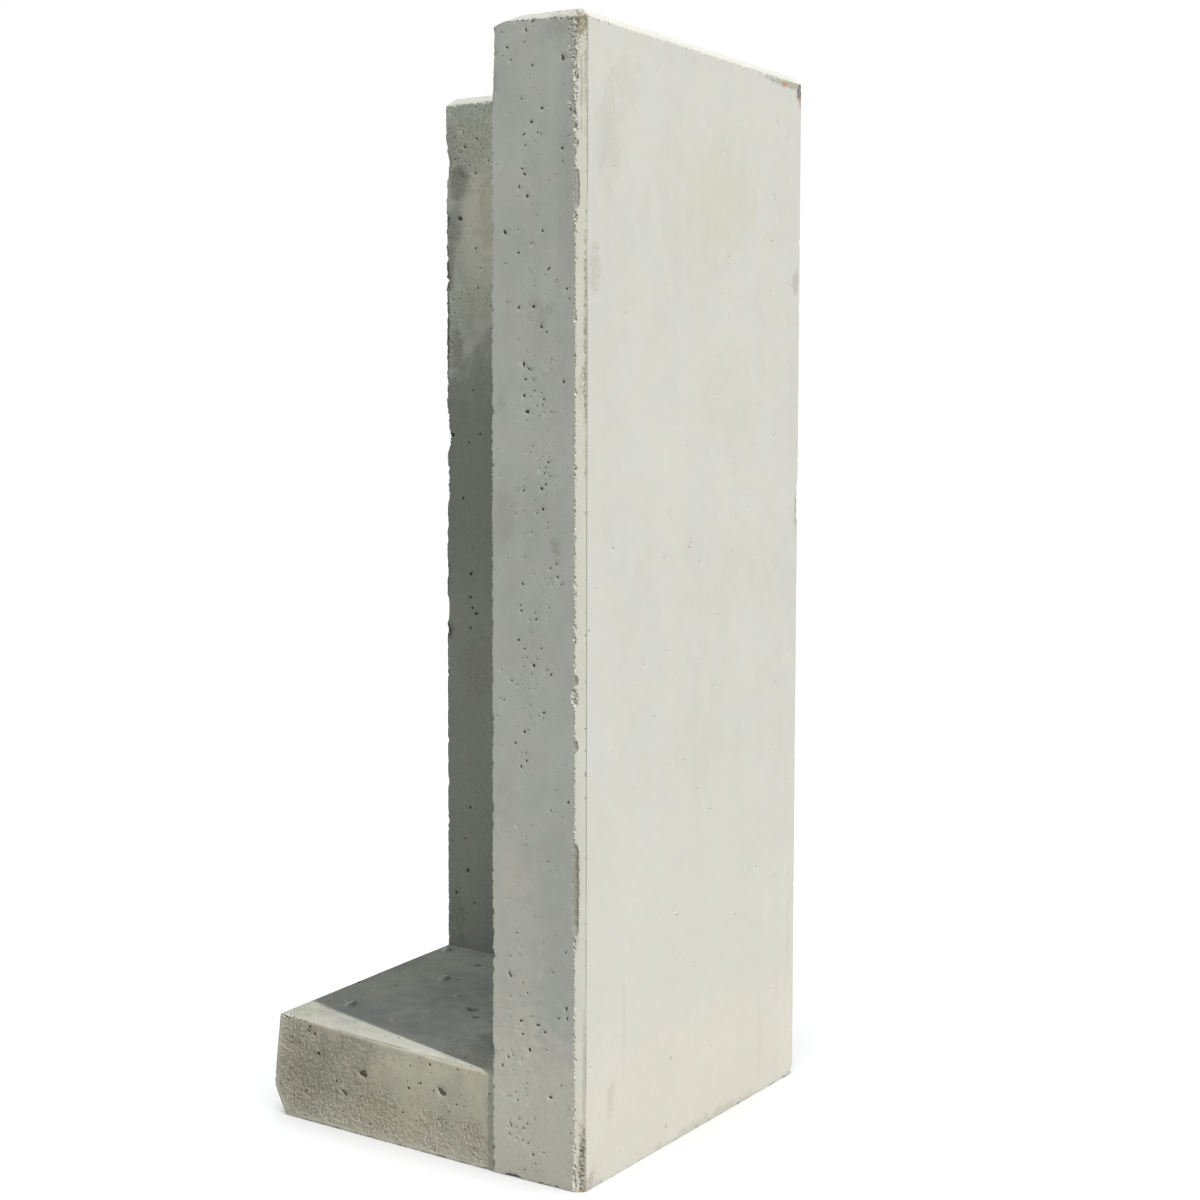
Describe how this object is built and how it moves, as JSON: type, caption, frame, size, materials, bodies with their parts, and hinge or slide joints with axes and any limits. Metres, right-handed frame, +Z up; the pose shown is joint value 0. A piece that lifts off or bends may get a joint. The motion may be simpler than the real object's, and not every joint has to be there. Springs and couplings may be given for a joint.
{
  "type": "precast concrete retaining wall corner element",
  "caption": "Tall precast concrete corner element with two upright panels at a right angle on a foot slab, for holding back soil at the corner of a wall.",
  "frame": {"origin": "middle of the footprint, on the ground", "axes": "+X along the front face from the free end to the outer corner, -Y out of the front face, +Z up"},
  "size_m": [0.99, 0.954, 2.5],
  "materials": {
    "front_concrete": "smooth pale cast face with faint upright streaks, small bug holes and sharp chamfered edges",
    "return_concrete": "grey cast face with darker olive weathering and a ragged rear arris",
    "foot_concrete": "trowelled top with ripples, sandy porous sides",
    "bar_steel": "reinforcing steel with brown mill scale and light rust",
    "socket_steel": "zinc plated steel",
    "plug_plastic": "orange moulded plastic",
    "spacer_plastic": "grey moulded plastic",
    "spacer_concrete": "plain grey mortar"
  },
  "bodies": {
    "root": {"anchor_tail_bar_1": "bar_steel", "anchor_tail_bar_2": "bar_steel", "anchor_tail_bar_3": "bar_steel", "corner_hairpin_bar_1": "bar_steel", "corner_hairpin_bar_2": "bar_steel", "corner_hairpin_bar_3": "bar_steel", "corner_hairpin_bar_4": "bar_steel", "corner_hairpin_bar_5": "bar_steel", "face_spacer_1": "spacer_plastic", "face_spacer_2": "spacer_plastic", "face_spacer_3": "spacer_plastic", "face_spacer_4": "spacer_plastic", "foot_bottom_mesh": "bar_steel", "foot_link_bar_1": "bar_steel", "foot_link_bar_2": "bar_steel", "foot_link_bar_3": "bar_steel", "foot_slab": "foot_concrete", "foot_spacer_block_1": "spacer_concrete", "foot_spacer_block_2": "spacer_concrete", "foot_spacer_block_3": "spacer_concrete", "foot_spacer_block_4": "spacer_concrete", "foot_top_bar_1": "bar_steel", "foot_top_bar_2": "bar_steel", "foot_top_bar_3": "bar_steel", "foot_top_mesh": "bar_steel", "front_panel_face_mesh": "bar_steel", "front_panel_soil_mesh": "bar_steel", "front_wall_panel": "front_concrete", "lifting_socket_1": "socket_steel", "lifting_socket_2": "socket_steel", "lifting_socket_3": "socket_steel", "panel_dowel_bar_1": "bar_steel", "panel_dowel_bar_2": "bar_steel", "panel_dowel_bar_3": "bar_steel", "return_panel_face_mesh": "bar_steel", "return_panel_soil_mesh": "bar_steel", "return_wall_panel": "return_concrete", "socket_plug_1": "plug_plastic", "socket_plug_2": "plug_plastic", "socket_plug_3": "plug_plastic"}
  },
  "joints": []
}
